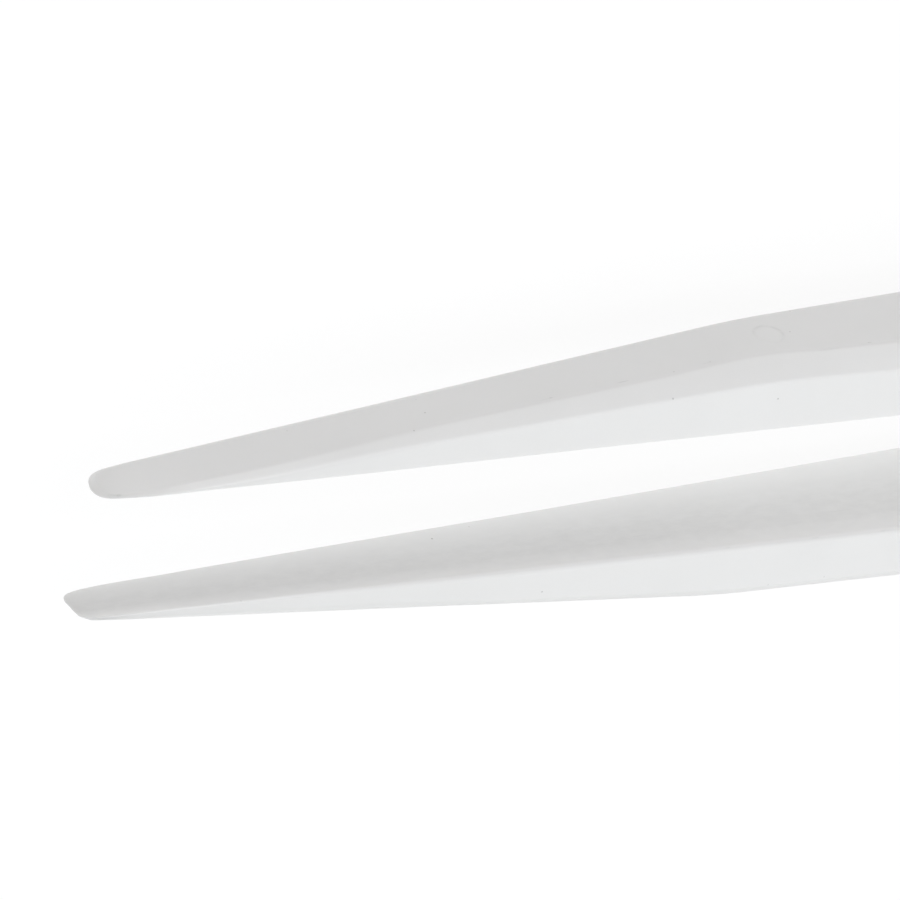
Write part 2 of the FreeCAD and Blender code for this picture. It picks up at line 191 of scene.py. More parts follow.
def prism(name, outline, low, high, axis, over):
    """An outline in two axes, drawn along the third. axis is z (outline in x, y) or y (outline in x, z)."""
    n = len(outline)
    pts = []
    for level in (low, high):
        for a, b in outline:
            pts.append((a, b, level) if axis == "z" else (a, level, b))
    faces = [tuple(range(n)), tuple(range(2 * n - 1, n - 1, -1))]
    faces += [(i, (i + 1) % n, n + (i + 1) % n, n + i) for i in range(n)]
    return cutter(name, np.array(pts), faces, over)


def lathe_points(profile, x, around, phase=0.0):
    """A closed profile of (radius, y), first and last on the axis, turned about the line x, z = 0."""
    pts, faces = [(x, profile[0][1], 0.0)], []
    body = profile[1:-1]
    for r, y in body:
        for k in range(around):
            a = 2 * math.pi * (k + phase) / around
            pts.append((x + r * math.cos(a), y, r * math.sin(a)))
    pts.append((x, profile[-1][1], 0.0))
    last = len(pts) - 1
    for k in range(around):
        kk = (k + 1) % around
        faces.append((0, 1 + k, 1 + kk))
        for i in range(len(body) - 1):
            a, b = 1 + i * around, 1 + (i + 1) * around
            faces.append((a + k, b + k, b + kk, a + kk))
        a = 1 + (len(body) - 1) * around
        faces.append((last, a + kk, a + k))
    return np.array(pts), faces


def carve(obj, cutters):
    """Cuts each cutter out of obj and throws the cutter away."""
    for c in cutters:
        mod = obj.modifiers.new("carve", "BOOLEAN")
        mod.operation = "DIFFERENCE"
        mod.solver = "MANIFOLD"
        mod.object = c
        bpy.context.view_layer.update()
        graph = bpy.context.evaluated_depsgraph_get()
        mesh = bpy.data.meshes.new_from_object(obj.evaluated_get(graph), preserve_all_data_layers=False, depsgraph=graph)
        obj.modifiers.remove(mod)
        old = obj.data
        name = old.name
        materials = [s for s in old.materials]
        obj.data = mesh
        bpy.data.meshes.remove(old)
        mesh.name = name
        mesh.materials.clear()
        for s in materials[:1]:
            mesh.materials.append(s)
        mesh.polygons.foreach_set("material_index", np.zeros(len(mesh.polygons), np.int32))
        bpy.data.objects.remove(c, do_unlink=True)


def tidy(obj, angle=32.0):
    """Joins near-double points, drops slivers and shades smooth with sharp edges kept."""
    bm = bmesh.new()
    bm.from_mesh(obj.data)
    bmesh.ops.remove_doubles(bm, verts=bm.verts, dist=1.2e-6)
    bmesh.ops.dissolve_degenerate(bm, edges=bm.edges, dist=5e-7)
    bmesh.ops.recalc_face_normals(bm, faces=bm.faces)
    big = [f for f in bm.faces if len(f.verts) > 4]
    bmesh.ops.triangulate(bm, faces=big)
    bm.to_mesh(obj.data)
    bm.free()
    obj.data.shade_smooth()
    obj.data.set_sharp_from_angle(angle=math.radians(angle))
    obj.data.update()


# ------------------------------------------------------------------ materials
def node(tree, kind, **values):
    n = tree.nodes.new(kind)
    for key, v in values.items():
        if key in n.bl_rna.properties:
            setattr(n, key, v)
        else:
            n.inputs[key.replace("_", " ")].default_value = v
    return n


def material(name):
    mat = bpy.data.materials.new(name)
    mat.use_nodes = True
    tree = mat.node_tree
    tree.nodes.clear()
    out = tree.nodes.new("ShaderNodeOutputMaterial")
    shader = tree.nodes.new("ShaderNodeBsdfPrincipled")
    tree.links.new(shader.outputs[0], out.inputs[0])
    coords = tree.nodes.new("ShaderNodeTexCoord")
    return mat, tree, shader, coords


def noise(tree, vector, scale, detail=3.0, rough=0.5):
    n = tree.nodes.new("ShaderNodeTexNoise")
    n.inputs["Scale"].default_value = scale
    n.inputs["Detail"].default_value = detail
    n.inputs["Roughness"].default_value = rough
    tree.links.new(vector, n.inputs["Vector"])
    return n


def stretch(tree, vector, scale):
    n = tree.nodes.new("ShaderNodeMapping")
    n.inputs["Scale"].default_value = scale
    tree.links.new(vector, n.inputs["Vector"])
    return n.outputs[0]


def span(tree, value, low, high, to_low, to_high):
    n = tree.nodes.new("ShaderNodeMapRange")
    n.inputs["From Min"].default_value = low
    n.inputs["From Max"].default_value = high
    n.inputs["To Min"].default_value = to_low
    n.inputs["To Max"].default_value = to_high
    tree.links.new(value, n.inputs["Value"])
    return n.outputs[0]


def mix(tree, factor, a, b):
    n = tree.nodes.new("ShaderNodeMix")
    n.data_type = "RGBA"
    for sock, v in ((n.inputs[0], factor), (n.inputs[6], a), (n.inputs[7], b)):
        if isinstance(v, (tuple, list, float)):
            sock.default_value = (*v, 1.0) if isinstance(v, (tuple, list)) and len(v) == 3 else v
        else:
            tree.links.new(v, sock)
    return n.outputs[2]


def maths(tree, operation, a, b=None):
    n = tree.nodes.new("ShaderNodeMath")
    n.operation = operation
    for sock, v in zip(n.inputs, (a, b)):
        if v is None:
            continue
        if isinstance(v, float):
            sock.default_value = v
        else:
            tree.links.new(v, sock)
    return n.outputs[0]


# specks in the ceramic's surface: place in the row frame (mm), half size (mm), strength
SPECKS = (
    ((-49.140, 4.250, 4.328), (0.045, 0.05, 0.04), 0.33), ((-50.145, 4.114, 5.245), (0.035, 0.05, 0.035), 0.36),
    ((-38.799, 4.587, 6.149), (0.045, 0.05, 0.045), 0.33), ((-33.959, 4.110, 6.449), (0.04, 0.04, 0.04), 0.42),
    ((-38.361, 5.235, 5.248), (0.04, 0.05, 0.03), 0.24), ((-36.637, 5.388, 5.120), (0.03, 0.05, 0.03), 0.24),
    ((-31.493, 5.607, 2.720), (0.035, 0.05, 0.035), 0.30), ((-32.348, 5.617, 4.139), (0.035, 0.05, 0.035), 0.30),
    ((-46.617, -2.703, 3.076), (0.042, 0.05, 0.042), 0.62), ((-42.985, -3.868, 6.048), (0.04, 0.04, 0.04), 0.40),
    ((-56.736, -2.703, 5.414), (0.03, 0.05, 0.03), 0.26),
    ((-63.164, 2.799, 5.004), (0.12, 0.08, 0.06), 0.10), ((-44.634, -2.703, 2.618), (0.035, 0.05, 0.035), 0.26),
    ((-49.012, 4.262, 3.384), (0.03, 0.05, 0.03), 0.20), ((-54.877, 3.709, 3.505), (0.03, 0.05, 0.03), 0.20),
    ((-29.879, -4.697, 6.604), (0.03, 0.04, 0.04), 0.22), ((-32.438, -4.783, 6.482), (0.03, 0.04, 0.04), 0.22),
    ((-12.280, -2.703, 5.900), (0.035, 0.05, 0.035), 0.35), ((-18.180, -3.400, 7.240), (0.04, 0.04, 0.05), 0.30),
)
# short grey rubs along the edges of the outer faces, and on the inner ones
RUBS = (
    ((-43.910, 4.728, 5.154), (0.1, 0.06, 0.034), 0.34), ((-44.280, 4.700, 5.180), (0.55, 0.06, 0.026), 0.10),
    ((-40.638, 5.027, 5.160), (0.3, 0.06, 0.03), 0.18), ((-29.489, 5.617, 5.612), (0.11, 0.06, 0.034), 0.55),
    ((-31.386, 5.596, 5.655), (0.6, 0.06, 0.04), 0.08), ((-36.780, 5.388, 5.160), (0.35, 0.06, 0.024), 0.10),
    ((-34.291, -2.703, 4.693), (0.28, 0.05, 0.022), 0.07), ((-37.954, -2.703, 4.845), (0.45, 0.05, 0.03), 0.06),
    ((-28.648, -2.703, 5.068), (0.6, 0.05, 0.034), 0.07), ((-30.679, -2.768, 6.563), (0.2, 0.05, 0.04), 0.09),
    ((-34.769, -2.771, 6.378), (0.22, 0.05, 0.04), 0.09), ((-38.015, -2.775, 6.233), (0.18, 0.05, 0.04), 0.09),
    ((-27.545, -2.784, 6.723), (0.2, 0.05, 0.04), 0.09), ((-25.080, -2.703, 6.500), (0.5, 0.05, 0.02), 0.10),
)


def ramp_of(tree, value, stops, scale):
    """A piecewise curve of a value from 0 to 1, its heights given over scale."""
    ramp = tree.nodes.new("ShaderNodeValToRGB")
    tree.links.new(value, ramp.inputs[0])
    while len(ramp.color_ramp.elements) < len(stops):
        ramp.color_ramp.elements.new(0.5)
    for i, (at, height) in enumerate(stops):
        ramp.color_ramp.elements[i].position = at
        ramp.color_ramp.elements[i].color = (height / scale,) * 3 + (1.0,)
    return maths(tree, "MULTIPLY", ramp.outputs[0], float(scale))


def ceramic():
    """Fired zirconia: matt, near white, the gap side ground and a little handled, with light and shade painted into the
    tone of its faces.
    """
    mat, tree, shader, coords = material("white_ceramic")
    at = coords.outputs["Object"]
    cloud = noise(tree, at, 260.0, 3.0, 0.55)
    grain = noise(tree, at, 8000.0, 2.0, 0.6)
    mottle = noise(tree, stretch(tree, at, (1400.0, 2600.0, 2600.0)), 1.0, 4.0, 0.62)
    colour = mix(tree, span(tree, cloud.outputs[0], 0.3, 0.7, 0.0, 1.0), (0.800, 0.800, 0.794), (0.820, 0.820, 0.815))
    colour = mix(tree, span(tree, grain.outputs[0], 0.25, 0.75, 0.0, 0.10), colour, (0.74, 0.74, 0.735))
    # the inner face, whose tone is mostly painted light and shade, under a random grey mottle
    parts = tree.nodes.new("ShaderNodeSeparateXYZ")
    tree.links.new(at, parts.inputs[0])
    depth = maths(tree, "ABSOLUTE", parts.outputs[1])
    inner = span(tree, depth, (GAP + 0.004) * MM, (GAP + 0.09) * MM, 1.0, 0.0)
    from_end = maths(tree, "ADD", parts.outputs[0], LENGTH / 2 * MM)
    half = maths(tree, "ADD", maths(tree, "MULTIPLY", from_end, 0.046), 1.0 * MM)
    across = maths(tree, "DIVIDE", maths(tree, "SUBTRACT", parts.outputs[2], GRIP_HALF * MM), half)
    across = maths(tree, "ADD", maths(tree, "MULTIPLY", across, 0.5), 0.5)
    share_of = maths(tree, "MULTIPLY", from_end, 1 / 0.040)
    # painted shade along the inner face: darker at the tip's end, lighter towards the rear
    along = ramp_of(tree, share_of, ((0.0, 0.945), (0.16, 0.952), (0.28, 0.966), (0.45, 0.988), (0.63, 1.000), (0.80, 1.046),
                                     (1.0, 1.068)), 1.2)
    # painted light and shade across the inner face: lighter at both long edges, darker in its middle
    face = ramp_of(tree, across, ((0.0, 1.04), (0.08, 1.025), (0.25, 0.977), (0.5, 0.942), (0.72, 0.966), (0.90, 1.10),
                                  (1.0, 1.15)), 1.2)
    soil = ramp_of(tree, across, ((0.2, 0.3), (0.45, 1.0), (0.8, 1.0), (0.95, 0.35)), 1.0)
    patch = maths(tree, "MULTIPLY", span(tree, mottle.outputs[0], 0.36, 0.64, -0.022, 0.016), soil)
    tone = maths(tree, "ADD", maths(tree, "MULTIPLY", along, face), patch)
    # painted shade on the inner face's -z edge near the tip's end
    edge = maths(tree, "MULTIPLY", span(tree, share_of, 0.0, 0.26, -0.045, 0.0), span(tree, across, 0.05, 0.35, 1.0, 0.0))
    tone = maths(tree, "ADD", tone, edge)
    tone = maths(tree, "ADD", maths(tree, "MULTIPLY", maths(tree, "SUBTRACT", tone, 1.0), inner), 1.0)
    # painted light and shade by which way the surface faces: the bevels a touch lighter than the wide faces, though
    # darker at the tip's very end; the long sides darker towards the end
    turned = tree.nodes.new("ShaderNodeSeparateXYZ")
    tree.links.new(coords.outputs["Normal"], turned.inputs[0])
    facing_y = maths(tree, "ABSOLUTE", turned.outputs[1])
    facing_z = maths(tree, "ABSOLUTE", turned.outputs[2])
    # painted light on the bevels, and painted shade on them at the tip's very end
    bevel_painted_light_and_shade = span(tree, maths(tree, "MULTIPLY", facing_y, facing_z), 0.30, 0.47, 0.0, 0.026)
    bevel_painted_light_and_shade = maths(tree, "MULTIPLY", bevel_painted_light_and_shade, maths(tree, "ADD", span(tree, share_of, 0.03, 0.10, -4.0, 1.6),
                                                       span(tree, share_of, 0.20, 0.32, 0.0, -0.6)))
    # painted shade on the wide faces
    wide_face_painted_shade = span(tree, facing_y, 0.86, 0.97, 0.0, -0.017)
    # painted shade on the long sides, deepest at the end
    long_side_painted_shade = maths(tree, "SUBTRACT", ramp_of(tree, share_of, ((0.0, 0.70), (0.03, 0.76), (0.065, 0.885), (0.12, 0.925), (0.28, 0.975),
                                                             (0.45, 0.992), (0.7, 1.0), (1.0, 1.008)), 1.2), 1.0)
    long_side_painted_shade = maths(tree, "MULTIPLY", long_side_painted_shade, span(tree, facing_z, 0.86, 0.96, 0.0, 1.0))
    tone = maths(tree, "ADD", tone, maths(tree, "ADD", maths(tree, "ADD", bevel_painted_light_and_shade, wide_face_painted_shade), long_side_painted_shade))
    # the very end is painted darker all round, as shade
    end_painted_shade = ramp_of(tree, share_of, ((0.0, 0.925), (0.0075, 0.935), (0.016, 0.960), (0.0375, 0.985), (0.08, 1.0)), 1.2)
    tone = maths(tree, "MULTIPLY", tone, end_painted_shade)
    # the ejector's witness on the upper tip: a faint grey ring round a slightly cleaner disc
    away = tree.nodes.new("ShaderNodeVectorMath")
    away.operation = "DISTANCE"
    tree.links.new(at, away.inputs[0])
    away.inputs[1].default_value = ((WITNESS[0] - LENGTH / 2) * MM, 0.005568, (GRIP_HALF + WITNESS[1]) * MM)
    ring = maths(tree, "ABSOLUTE", maths(tree, "SUBTRACT", away.outputs["Value"], (WITNESS[2] + 0.01) * MM))
    ring = span(tree, ring, 0.02 * MM, 0.10 * MM, 0.062, 0.0)
    ring = maths(tree, "MULTIPLY", ring, span(tree, mottle.outputs[0], 0.42, 0.58, 0.30, 1.20))
    # stronger on the side where the pin stood proud
    worn = maths(tree, "SUBTRACT", maths(tree, "MULTIPLY", parts.outputs[0], 0.55), maths(tree, "MULTIPLY", parts.outputs[2], 0.84))
    middle = (0.55 * (WITNESS[0] - LENGTH / 2) - 0.84 * (GRIP_HALF + WITNESS[1])) * MM
    ring = maths(tree, "MULTIPLY", ring, span(tree, worn, middle - 0.45 * MM, middle + 0.35 * MM, 0.25, 1.0))
    tone = maths(tree, "SUBTRACT", tone, ring)
    tone = maths(tree, "ADD", tone, span(tree, away.outputs["Value"], 0.40 * MM, 0.52 * MM, 0.010, 0.0))
    scaled = tree.nodes.new("ShaderNodeVectorMath")
    scaled.operation = "SCALE"
    tree.links.new(colour, scaled.inputs[0])
    tree.links.new(tone, scaled.inputs["Scale"])
    colour = scaled.outputs[0]
    for marks, dark in ((SPECKS, (0.13, 0.12, 0.11)), (RUBS, (0.30, 0.30, 0.30))):
        for place, half_size, strength in marks:
            away = tree.nodes.new("ShaderNodeVectorMath")
            away.operation = "SUBTRACT"
            tree.links.new(at, away.inputs[0])
            away.inputs[1].default_value = [v * MM for v in place]
            shrink = tree.nodes.new("ShaderNodeVectorMath")
            shrink.operation = "DIVIDE"
            tree.links.new(away.outputs[0], shrink.inputs[0])
            shrink.inputs[1].default_value = [v * MM for v in half_size]
            size = tree.nodes.new("ShaderNodeVectorMath")
            size.operation = "LENGTH"
            tree.links.new(shrink.outputs[0], size.inputs[0])
            inside = span(tree, size.outputs["Value"], 0.55, 1.15, strength, 0.0)
            if marks is RUBS:
                inside = maths(tree, "MULTIPLY", inside, span(tree, mottle.outputs[0], 0.42, 0.58, 0.3, 1.2))
            colour = mix(tree, inside, colour, dark)
    tree.links.new(colour, shader.inputs["Base Color"])
    rough = span(tree, cloud.outputs[0], 0.3, 0.7, 0.50, 0.60)
    rough = maths(tree, "SUBTRACT", rough, maths(tree, "MULTIPLY", inner, 0.06))
    tree.links.new(rough, shader.inputs["Roughness"])
    shader.inputs["IOR"].default_value = 1.6
    shader.inputs["Specular IOR Level"].default_value = 0.35
    # light goes a little way in and comes out again beside the edges
    shader.subsurface_method = "RANDOM_WALK"
    shader.inputs["Subsurface Weight"].default_value = 0.3
    shader.inputs["Subsurface Radius"].default_value = (1.0, 0.97, 0.92)
    shader.inputs["Subsurface Scale"].default_value = 0.00025
    # as-fired skin: a fine pebble over a very slow waviness
    wave = noise(tree, at, 420.0, 2.0, 0.5)
    slow = tree.nodes.new("ShaderNodeBump")
    slow.inputs["Strength"].default_value = 0.5
    slow.inputs["Distance"].default_value = 0.00002
    tree.links.new(wave.outputs[0], slow.inputs["Height"])
    bump = tree.nodes.new("ShaderNodeBump")
    bump.inputs["Strength"].default_value = 0.5
    bump.inputs["Distance"].default_value = 0.000004
    tree.links.new(grain.outputs[0], bump.inputs["Height"])
    tree.links.new(slow.outputs[0], bump.inputs["Normal"])
    tree.links.new(bump.outputs[0], shader.inputs["Normal"])
    return mat


def steel():
    """Satin stainless steel with fine scratches along the arms."""
    mat, tree, shader, coords = material("satin_steel")
    at = coords.outputs["Object"]
    lines = noise(tree, stretch(tree, at, (60.0, 9000.0, 9000.0)), 1.0, 4.0, 0.65)
    broad = noise(tree, stretch(tree, at, (22.0, 1400.0, 1400.0)), 1.0, 3.0, 0.55)
    cloud = noise(tree, at, 70.0, 3.0, 0.5)
    tone = span(tree, lines.outputs[0], 0.32, 0.68, 0.0, 1.0)
    colour = mix(tree, tone, (0.41, 0.405, 0.395), (0.60, 0.595, 0.585))
    colour = mix(tree, span(tree, cloud.outputs[0], 0.3, 0.7, 0.0, 0.35), colour, (0.54, 0.54, 0.54))
    tree.links.new(colour, shader.inputs["Base Color"])
    shader.inputs["Metallic"].default_value = 1.0
    rough = maths(tree, "ADD", span(tree, lines.outputs[0], 0.3, 0.7, 0.24, 0.40),
                  span(tree, cloud.outputs[0], 0.3, 0.7, -0.03, 0.05))
    tree.links.new(rough, shader.inputs["Roughness"])
    bump = tree.nodes.new("ShaderNodeBump")
    bump.inputs["Strength"].default_value = 0.35
    bump.inputs["Distance"].default_value = 0.000012
    tree.links.new(maths(tree, "ADD", lines.outputs[0], broad.outputs[0]), bump.inputs["Height"])
    tree.links.new(bump.outputs[0], shader.inputs["Normal"])
    return mat


def turned_steel():
    """Screws: faint rings about their own axis from turning, a little darker than the arms."""
    mat, tree, shader, coords = material("turned_steel")
    at = coords.outputs["Object"]
    rings = None
    parts = tree.nodes.new("ShaderNodeSeparateXYZ")
    tree.links.new(at, parts.inputs[0])
    for x in SCREWS:
        dx = maths(tree, "SUBTRACT", parts.outputs[0], (x - LENGTH / 2) * MM)
        dz = maths(tree, "SUBTRACT", parts.outputs[2], GRIP_HALF * MM)
        r = maths(tree, "SQRT", maths(tree, "ADD", maths(tree, "MULTIPLY", dx, dx), maths(tree, "MULTIPLY", dz, dz)))
        rings = r if rings is None else maths(tree, "MINIMUM", rings, r)
    wave = maths(tree, "SINE", maths(tree, "MULTIPLY", rings, 2 * math.pi / 0.00007))
    cloud = noise(tree, at, 1500.0, 3.0, 0.6)
    tone = maths(tree, "MULTIPLY", span(tree, wave, -1.0, 1.0, 0.35, 1.0), span(tree, cloud.outputs[0], 0.3, 0.7, 0.6, 1.0))
    colour = mix(tree, tone, (0.40, 0.395, 0.385), (0.60, 0.60, 0.595))
    tree.links.new(colour, shader.inputs["Base Color"])
    shader.inputs["Metallic"].default_value = 1.0
    tree.links.new(span(tree, cloud.outputs[0], 0.3, 0.7, 0.26, 0.40), shader.inputs["Roughness"])
    bump = tree.nodes.new("ShaderNodeBump")
    bump.inputs["Strength"].default_value = 0.3
    bump.inputs["Distance"].default_value = 0.000006
    tree.links.new(wave, bump.inputs["Height"])
    tree.links.new(bump.outputs[0], shader.inputs["Normal"])
    return mat


CERAMIC, STEEL, TURNED = ceramic(), steel(), turned_steel()


# --------------------------------------------------------------- ceramic tips
def share(x):
    """How far the section has grown from the end towards its full size."""
    if x < SHOULDER - REACH:
        return x / SHOULDER
    if x < SHOULDER + REACH:
        return 1 - (SHOULDER + REACH - x) ** 2 / (4 * REACH * SHOULDER)
    return 1.0


def smooth(x, a, b):
    t = min(1.0, max(0.0, (x - a) / (b - a)))
    return t * t * (3 - 2 * t)


def tip_section(x, plus=True):
    """The rim from the inner face round to the outer one. The -z side's inner edge is
    stoned softer, and the outer face slopes down to the +z side towards the end."""
    f = share(max(x, 0.0))
    side = 0.085 + (2.165 - 0.085) * f
    rise = 0.115 + (0.749 - 0.115) * f
    reach = 0.20 + (0.863 - 0.20) * f
    lean = 0.119 * f
    end = 1 - smooth(x, 0.0, 0.9)  # the very end is thinned and rolled over
    side -= 0.05 * end
    reach += 0.12 * end
    start, top = 0.34, side + rise
    if plus:
        lower = 0.27 * (1 - smooth(x, 6.5, 15.0))
        side = max(0.04, side - lower)
        top = max(side + 0.10, top - lower)
        # the bevel is broadest at the shoulder, and reaches a little lower behind it
        reach += 0.14 * smooth(x, 24.5, 28.5) * (1 - smooth(x, 29.5, 33.0))
        side -= 0.07 * smooth(x, 31.5, 37.0)
        crisp, soft, t_in = smooth(x, 10.5, 15.5), 0.46, min(0.085, 0.6 * side)
    else:
        crisp, soft, t_in = smooth(x, 13.0, 20.0), 0.46, 0.085 + 0.215 * smooth(x, 3.0, 22.0)
    bevel = math.hypot(top - side, reach)
    t_side = (1 - crisp) * (0.30 if plus else soft) * bevel + crisp * 0.10
    t_top = (1 - crisp) * soft * bevel + crisp * 0.13
    return rounded([(start, 0.0), (0.0, 0.0), (lean, side), (lean + reach, top),
                    (lean + reach + 0.05 + 0.30 * f, top)],
                   (t_in, t_side, t_top), 7)


def tip_side():
    slope = 0.046
    alpha = math.atan(slope)
    r = 0.76
    zc = 1.0 + slope * r - r / math.cos(alpha)
    side = []
    for i in range(25):
        phi = math.pi - (math.pi / 2 - alpha) * i / 24
        side.append((r + r * math.cos(phi), zc + r * math.sin(phi), -math.cos(phi), -math.sin(phi)))
    x = side[-1][0]
    while x < LAP_END - 1e-6:
        step = 0.30
        if x < 3:
            step = 0.12
        if 27.0 < x < 32.4:
            step = 0.10
        if 29.2 < x < 31.6:
            step = 0.045
        x = min(LAP_END, x + step)
        tilt = math.sin(alpha) * (1 - smooth(x, 50.0, 55.0))
        side.append((x, 1.0 + slope * x, tilt, -math.cos(alpha)))
    return side


def witness(x, z):
    d = np.hypot(x - WITNESS[0], z - WITNESS[1])
    r = WITNESS[2]
    t = np.clip((d - r + 0.07) / 0.12, 0, 1)
    sunk = -0.012 * (1 - t * t * (3 - 2 * t))
    rim = 0.002 * np.exp(-((d - r - 0.04) / 0.05) ** 2)
    return sunk + rim


TIP_SECTIONS = table(tip_section, np.concatenate([np.arange(-0.1, 3, 0.03), np.arange(3, 58, 0.1)]),
                     lambda x: tip_section(x, False))


def make_tip(name, over):
    obj = slab(name, tip_side(), TIP_SECTIONS, 56, lambda x: np.full(len(x), GAP), over, CERAMIC,
               None if over else witness)
    # the ends were ground by hand, each a little differently
    co = np.zeros(len(obj.data.vertices) * 3, np.float32)
    obj.data.vertices.foreach_get("co", co)
    co = co.reshape(-1, 3)
    x = (co[:, 0] / MM + LENGTH / 2)
    z = (co[:, 2] / MM - GRIP_HALF)
    ground = LOWER_END if over else UPPER_END
    back = 0.146 - 0.10 * z + np.interp(z, [g[0] for g in ground], [g[1] for g in ground])
    t = np.clip((x - 0.5) / 1.9, 0, 1)
    co[:, 0] += (1 - t * t * (3 - 2 * t)) * back * MM
    # each tip is a hair fuller on one side, ahead of the shoulder
    own = np.clip((-z if over else z) / (1.0 + 0.046 * x), 0, 1)
    fuller = np.clip((x - 0.8) / 6.0, 0, 1) * np.clip((22.0 - x) / 10.0, 0, 1)
    co[:, 2] += (-1 if over else 1) * 0.055 * own * fuller * MM
    co[:, 0] = np.maximum(co[:, 0], -0.064)
    co[:, 1] = np.clip(co[:, 1], -5.6169 * MM, 5.6169 * MM)
    obj.data.vertices.foreach_set("co", co.ravel())
    obj.data.update()
    y_lap = GAP + LAP_T
    # the step that the steel laps over, with its rounded root
    root = 0.30
    outline = [(LAP_X, y_lap + 5)]
    for k in range(9):
        a = math.pi + math.pi / 2 * k / 8
        outline.append((LAP_X + root + root * math.cos(a), y_lap + root + root * math.sin(a)))
    outline += [(LAP_END + 3, y_lap), (LAP_END + 3, y_lap + 5)]
    tools = [prism("step_cut", outline, -8, 8, "z", over)]
    # rounded rear corners of the lap
    rear_half, r = 1.0 + 0.046 * LAP_END, 0.80
    for up in (1, -1):
        corner = [(LAP_END + 1, up * (rear_half + 1)), (LAP_END - r, up * (rear_half + 1))]
        for k in range(13):
            a = math.pi / 2 - math.pi / 2 * k / 12
            corner.append((LAP_END - r + r * math.cos(a), up * (rear_half - r + r * math.sin(a))))
        corner.append((LAP_END + 1, up * (rear_half - r)))
        tools.append(prism("corner_cut", corner, 0, 9, "y", over))
    # countersunk clearance holes, their mouths eased
    for x in SCREWS:
        pts, faces = lathe_points([(0, GAP - 1), (1.69 + 1.0, GAP - 1), (1.69, GAP - 0.001), (1.66, GAP + 0.02),
                                   (0.94, GAP + 0.74), (0.90, GAP + 0.80), (0.90, y_lap - 0.05), (0.95, y_lap + 0.0),
                                   (0.95, y_lap + 1), (0, y_lap + 1)], x, 72)
        tools.append(cutter("hole_cut", pts, faces, over))
    carve(obj, tools)
    tidy(obj)
    return obj


# ----------------------------------------------------------------- steel arms
ARM_START, FRONT_T, TAIL_T, BEND_R = 43.12, 1.45, 0.90, 70.0
GRIP_IN, GRIP_OUT, TAIL_HALF, TAIL_R, PLAN_R = 56.5, 92.0, 3.0, 2.4, 60.0


def bent_line(points, radius, steps=40):
    """Polyline with tangent arcs of one radius at its inner corners, as a function of x."""
    tangents = []
    for a, b, c in zip(points, points[1:], points[2:]):
        turn = abs(math.atan2(c[1] - b[1], c[0] - b[0]) - math.atan2(b[1] - a[1], b[0] - a[0]))
        tangents.append(radius * math.tan(turn / 2))
    line = rounded(points, tangents, steps)
    return lambda x: np.interp(x, line[:, 0], line[:, 1])


Y_LAP = GAP + LAP_T
arm_inner = bent_line([(30, Y_LAP), (63.0, Y_LAP), (111.0, 0.0), (140, 0.0)], BEND_R)
arm_outer = bent_line([(30, Y_LAP + FRONT_T), (64.0, Y_LAP + FRONT_T), (110.6, TAIL_T), (140, TAIL_T)], BEND_R)
_start_half = (2.0 + 0.092 * ARM_START) / 2 - 0.08
arm_half = bent_line([(ARM_START - 1, _start_half - 0.046), (GRIP_IN, GRIP_HALF), (GRIP_OUT, GRIP_HALF),
                      (LENGTH, TAIL_HALF)], PLAN_R)


def arm_side():
    """From the tail's end wall round its corner and forward to the front end."""
    slope = (TAIL_HALF - GRIP_HALF) / (LENGTH - GRIP_OUT)
    alpha = math.atan(-slope)
    r = TAIL_R
    xc = LENGTH - r
    zc = TAIL_HALF + math.tan(alpha) * r - r / math.cos(alpha)
    side = []
    for i in range(29):
        phi = (math.pi / 2 - alpha) * i / 28
        side.append((xc + r * math.cos(phi), zc + r * math.sin(phi), -math.cos(phi), -math.sin(phi)))
    x = side[-1][0]
    while x > ARM_START + 1e-6:
        x = max(ARM_START, x - 0.35)
        h = arm_half(x)
        dh = (arm_half(x + 0.05) - arm_half(x - 0.05)) / 0.1 * smooth(x, ARM_START, ARM_START + 4)
        length = math.hypot(1, dh)
        side.append((x, h, dh / length, -1 / length))
    return side


def arm_section(x):
    t = arm_outer(x) - arm_inner(x)
    by, bz = 0.62, 0.72
    return rounded([(0.22, 0.0), (0.0, 0.0), (0.0, t - by), (bz, t), (bz + 0.25, t)], (0.06, 0.07, 0.11), 5)


ARM_SECTIONS = table(lambda x: arm_section(2 * LENGTH - x), np.arange(LENGTH - 0.2, 2 * LENGTH - ARM_START + 0.6, 0.1))


def arm_slab(name, over):
    """The arm's own version of slab: its end wall faces the other way, at the tail."""
    side = [(LENGTH * 2 - x, z, -ix, iz) for x, z, ix, iz in arm_side()]  # mirrored so that x grows
    obj = slab(name, side, ARM_SECTIONS, 22, lambda x: arm_inner(2 * LENGTH - x), over, STEEL)
    # mirror back to the real direction, in the row frame
    co = np.zeros(len(obj.data.vertices) * 3, np.float32)
    obj.data.vertices.foreach_get("co", co)
    co = co.reshape(-1, 3)
    co[:, 0] = LENGTH * MM - co[:, 0]
    obj.data.vertices.foreach_set("co", co.ravel())
    obj.data.flip_normals()
    obj.data.update()
    return obj


def make_arm(name, over):
    obj = arm_slab(name, over)
    relief = 0.42
    tools = [prism("relief_cut", [(ARM_START - 1, Y_LAP - 1), (ARM_START + relief + 1, Y_LAP - 1),
                                  (ARM_START + relief, Y_LAP), (ARM_START, Y_LAP + relief),
                                  (ARM_START - 1, Y_LAP + relief + 1)], -8, 8, "z", over)]
    y_out = Y_LAP + FRONT_T
    for x in SCREWS:
        pts, faces = lathe_points([(0, Y_LAP - 1), (0.80, Y_LAP - 1), (0.80, y_out - 0.13), (0.95, y_out + 0.02),
                                   (0.95, y_out + 1), (0, y_out + 1)], x, 64)
        tools.append(cutter("tapped_cut", pts, faces, over))
    carve(obj, tools)
    tidy(obj)
    return obj


